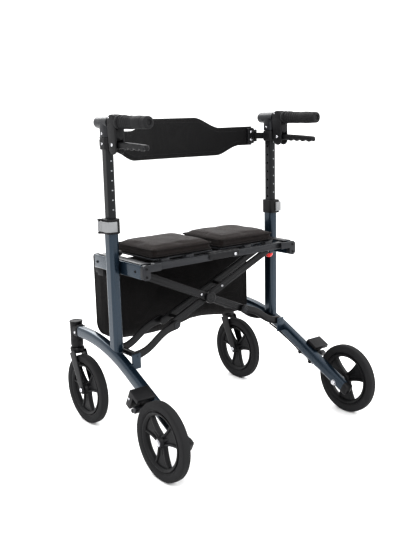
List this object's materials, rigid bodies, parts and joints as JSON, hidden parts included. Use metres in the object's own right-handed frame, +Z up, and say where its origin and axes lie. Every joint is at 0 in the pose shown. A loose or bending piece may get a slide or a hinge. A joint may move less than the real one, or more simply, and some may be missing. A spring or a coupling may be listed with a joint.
{
  "type": "four-wheeled walking frame",
  "caption": "Folding walking frame on wheels with a padded seat, a fabric bag, a back strap, sliding handles and hand brakes.",
  "frame": {"origin": "on the floor, under the middle of the frame's box", "axes": "+X is the user's right, +Y is forward, +Z is up"},
  "size_m": [0.702, 0.64, 0.876],
  "materials": {
    "frame_paint": "dark slate-blue metallic powder coat",
    "dark_plastic": "moulded black plastic",
    "grey_casting": "dark grey painted casting",
    "lever_plastic": "light grey moulded plastic",
    "grip_rubber": "ribbed soft black rubber",
    "rim_plastic": "moulded charcoal plastic",
    "tyre_rubber": "soft grey-black rubber",
    "seat_fabric": "woven brown-black upholstery",
    "strap_fabric": "padded black fabric with bound edges",
    "bag_fabric": "black woven bag cloth",
    "steel": "plated steel",
    "knob_red": "glossy red ball",
    "cable_jacket": "black cable jacket"
  },
  "bodies": {
    "root": {"left_post": "frame_paint", "left_leg": "frame_paint", "left_seat_rail": "frame_paint", "left_rail_fittings": "grey_casting", "left_rail_cap": "dark_plastic", "left_collar": "dark_plastic", "left_caster_head": "dark_plastic", "left_rear_axle": "steel", "left_brake_unit": "dark_plastic", "left_brake_cable": "cable_jacket", "left_bag": "bag_fabric"},
    "right_frame": {"right_post": "frame_paint", "right_leg": "frame_paint", "right_seat_rail": "frame_paint", "right_rail_fittings": "grey_casting", "right_rail_cap": "dark_plastic", "right_collar": "dark_plastic", "right_caster_head": "dark_plastic", "right_rear_axle": "steel", "right_brake_unit": "dark_plastic", "right_brake_cable": "cable_jacket", "right_bag": "bag_fabric"},
    "left_handle": {"left_height_tube": "frame_paint", "left_handle_head": "grey_casting", "left_grip": "grip_rubber", "left_brake_housing": "dark_plastic", "left_strap_bracket": "dark_plastic"},
    "left_strap": {"left_back_strap": "strap_fabric"},
    "left_seat": {"left_seat_frame": "grey_casting", "left_seat_cushion": "seat_fabric"},
    "left_arm": {"left_brace_arm": "grey_casting"},
    "left_caster": {"left_caster_fork": "dark_plastic"},
    "left_front_wheel": {"left_front_tyre": "tyre_rubber", "left_front_rim": "rim_plastic"},
    "left_rear_wheel": {"left_rear_tyre": "tyre_rubber", "left_rear_rim": "rim_plastic"},
    "left_lever": {"left_brake_lever": "dark_plastic"},
    "left_shoe": {"left_brake_shoe": "grey_casting"},
    "left_clamp": {"left_collar_lever": "lever_plastic"},
    "right_handle": {"right_height_tube": "frame_paint", "right_handle_head": "grey_casting", "right_grip": "grip_rubber", "right_brake_housing": "dark_plastic", "right_strap_bracket": "dark_plastic"},
    "right_strap": {"right_back_strap": "strap_fabric"},
    "right_seat": {"right_seat_frame": "grey_casting", "right_seat_cushion": "seat_fabric"},
    "right_arm": {"right_brace_arm": "grey_casting"},
    "right_caster": {"right_caster_fork": "dark_plastic"},
    "right_front_wheel": {"right_front_tyre": "tyre_rubber", "right_front_rim": "rim_plastic"},
    "right_rear_wheel": {"right_rear_tyre": "tyre_rubber", "right_rear_rim": "rim_plastic"},
    "right_lever": {"right_brake_lever": "dark_plastic"},
    "right_shoe": {"right_brake_shoe": "grey_casting"},
    "right_clamp": {"right_collar_lever": "lever_plastic"},
    "brace_a": {"brace_a": "grey_casting"},
    "brace_b": {"brace_b": "grey_casting"},
    "center_grip": {"crossbar_grip": "dark_plastic"},
    "knob": {"release_knob": "knob_red"}
  },
  "joints": [
    {"name": "fold", "type": "hinge", "parent": "root", "child": "brace_a", "pos_m": [-0.236, 0.054, 0.466], "axis": [0, 1, 0], "range_deg": [0, 40.5]},
    {"name": "brace_scissor", "type": "hinge", "parent": "brace_a", "child": "brace_b", "pos_m": [0, 0.054, 0.361], "axis": [0, 1, 0], "range_deg": [-81.5, 0.5]},
    {"name": "right_frame_hinge", "type": "hinge", "parent": "brace_b", "child": "right_frame", "pos_m": [0.236, 0.054, 0.466], "axis": [0, 1, 0], "range_deg": [-0.5, 41]},
    {"name": "left_arm_hinge", "type": "hinge", "parent": "root", "child": "left_arm", "pos_m": [-0.2575, 0.054, 0.247], "axis": [0, 1, 0], "range_deg": [-0.5, 85.95]},
    {"name": "left_seat_hinge", "type": "hinge", "parent": "root", "child": "left_seat", "pos_m": [-0.222, 0.054, 0.49], "axis": [0, 1, 0], "range_deg": [-73.4, 0.5]},
    {"name": "left_height", "type": "slide", "parent": "root", "child": "left_handle", "axis": [0, 0, 1], "range_m": [-0.05, 0.05]},
    {"name": "left_strap_hinge", "type": "hinge", "parent": "left_handle", "child": "left_strap", "pos_m": [-0.268, 0.105, 0.803], "axis": [0, 0, 1], "range_deg": [-0.5, 53.15]},
    {"name": "left_caster_swivel", "type": "hinge", "parent": "root", "child": "left_caster", "pos_m": [-0.286, 0.268, 0.21], "axis": [0, 0, 1], "continuous": true},
    {"name": "left_front_roll", "type": "hinge", "parent": "left_caster", "child": "left_front_wheel", "pos_m": [-0.286, 0.22, 0.1], "axis": [1, 0, 0], "continuous": true},
    {"name": "left_rear_roll", "type": "hinge", "parent": "root", "child": "left_rear_wheel", "pos_m": [-0.332, -0.22, 0.1], "axis": [1, 0, 0], "continuous": true},
    {"name": "left_brake_squeeze", "type": "hinge", "parent": "left_handle", "child": "left_lever", "pos_m": [-0.283, 0.009, 0.801], "axis": [-1, 0, 0], "range_deg": [0, 11], "stiffness_Nm_per_rad": 1.2, "springref_deg": -14.32},
    {"name": "left_shoe_pivot", "type": "hinge", "parent": "root", "child": "left_shoe", "pos_m": [-0.332, -0.10668, 0.14628], "axis": [1, 0, 0], "range_deg": [-0.5, 18.1]},
    {"name": "left_clamp_lever", "type": "hinge", "parent": "root", "child": "left_clamp", "pos_m": [-0.308, 0.071, 0.59], "axis": [0, 0, -1], "range_deg": [0, 95]},
    {"name": "right_arm_hinge", "type": "hinge", "parent": "right_frame", "child": "right_arm", "pos_m": [0.2575, 0.054, 0.247], "axis": [0, 1, 0], "range_deg": [-85.95, 0.5]},
    {"name": "right_seat_hinge", "type": "hinge", "parent": "right_frame", "child": "right_seat", "pos_m": [0.222, 0.054, 0.49], "axis": [0, 1, 0], "range_deg": [-0.5, 73.4]},
    {"name": "right_height", "type": "slide", "parent": "right_frame", "child": "right_handle", "axis": [0, 0, 1], "range_m": [-0.05, 0.05]},
    {"name": "right_strap_hinge", "type": "hinge", "parent": "right_handle", "child": "right_strap", "pos_m": [0.268, 0.105, 0.803], "axis": [0, 0, 1], "range_deg": [-53.15, 0.5]},
    {"name": "right_caster_swivel", "type": "hinge", "parent": "right_frame", "child": "right_caster", "pos_m": [0.286, 0.268, 0.21], "axis": [0, 0, 1], "continuous": true},
    {"name": "right_front_roll", "type": "hinge", "parent": "right_caster", "child": "right_front_wheel", "pos_m": [0.286, 0.22, 0.1], "axis": [1, 0, 0], "continuous": true},
    {"name": "right_rear_roll", "type": "hinge", "parent": "right_frame", "child": "right_rear_wheel", "pos_m": [0.332, -0.22, 0.1], "axis": [1, 0, 0], "continuous": true},
    {"name": "right_brake_squeeze", "type": "hinge", "parent": "right_handle", "child": "right_lever", "pos_m": [0.283, 0.009, 0.801], "axis": [-1, 0, 0], "range_deg": [0, 11], "stiffness_Nm_per_rad": 1.2, "springref_deg": -14.32},
    {"name": "right_shoe_pivot", "type": "hinge", "parent": "right_frame", "child": "right_shoe", "pos_m": [0.332, -0.10668, 0.14628], "axis": [1, 0, 0], "range_deg": [-0.5, 18.1]},
    {"name": "right_clamp_lever", "type": "hinge", "parent": "right_frame", "child": "right_clamp", "pos_m": [0.308, 0.071, 0.59], "axis": [0, 0, 1], "range_deg": [0, 95]},
    {"name": "center_grip_hinge", "type": "hinge", "parent": "right_seat", "child": "center_grip", "pos_m": [0.042, -0.049, 0.49], "axis": [0, 1, 0], "range_deg": [-73.4, 0.5]},
    {"name": "release_pull", "type": "slide", "parent": "right_frame", "child": "knob", "axis": [0, 0, -1], "range_m": [0, 0.008], "stiffness_N_per_m": 400, "springref_m": -0.004}
  ],
  "couplings": [
    {"joint": "brace_scissor", "follows": "fold", "ratio": -2},
    {"joint": "right_frame_hinge", "follows": "fold", "ratio": 1},
    {"joint": "left_arm_hinge", "follows": "fold", "ratio": 2.11},
    {"joint": "left_seat_hinge", "follows": "fold", "ratio": -1.8},
    {"joint": "left_strap_hinge", "follows": "fold", "ratio": 1.3},
    {"joint": "left_shoe_pivot", "follows": "left_brake_squeeze", "ratio": 1.6},
    {"joint": "right_arm_hinge", "follows": "fold", "ratio": -2.11},
    {"joint": "right_seat_hinge", "follows": "fold", "ratio": 1.8},
    {"joint": "right_strap_hinge", "follows": "fold", "ratio": -1.3},
    {"joint": "right_shoe_pivot", "follows": "right_brake_squeeze", "ratio": 1.6},
    {"joint": "right_height", "follows": "left_height", "ratio": 1},
    {"joint": "center_grip_hinge", "follows": "fold", "ratio": -1.8}
  ]
}
